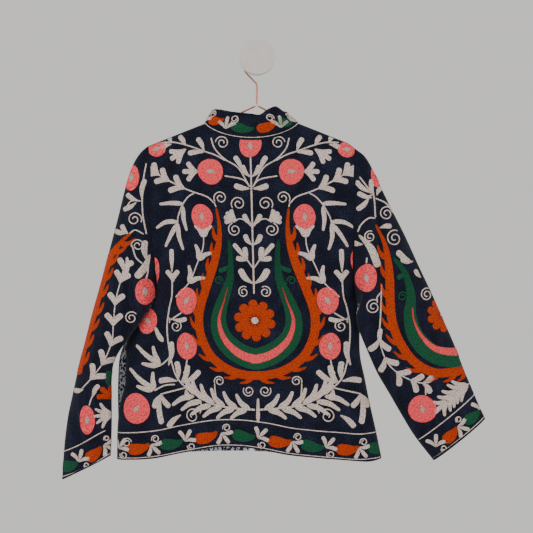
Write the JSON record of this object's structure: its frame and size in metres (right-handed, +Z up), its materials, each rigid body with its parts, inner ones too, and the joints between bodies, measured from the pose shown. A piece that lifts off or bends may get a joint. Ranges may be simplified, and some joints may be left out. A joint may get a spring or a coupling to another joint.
{
  "type": "embroidered denim jacket on a wire hanger with its wall knob",
  "caption": "Hip-length dark denim jacket with open front, wide sleeves and a stand collar, on a wire hanger that hangs from a round wall knob.",
  "frame": {"origin": "centre of the wall knob's flat back, where it meets the wall", "axes": "+Z up; +Y into the wall, so the jacket's back faces -Y; -X is the wearer's left"},
  "size_m": [0.7863, 0.0729, 0.8168],
  "materials": {
    "denim": "dark indigo denim, matt, with raised chain-stitch embroidery",
    "lining": "plain-woven cotton with a small blue print",
    "copper_wire": "satin copper plating",
    "painted_wood": "turned wood in pale matt paint"
  },
  "bodies": {
    "root": {"back": "denim", "front_left": "denim", "front_right": "denim", "lining_left": "lining", "lining_right": "lining", "sleeve_left": "denim", "sleeve_right": "denim", "collar": "denim", "hanger_hook": "copper_wire", "hanger_arm_left": "copper_wire", "hanger_arm_right": "copper_wire", "hanger_bar": "copper_wire", "wall_knob": "painted_wood"}
  },
  "joints": []
}
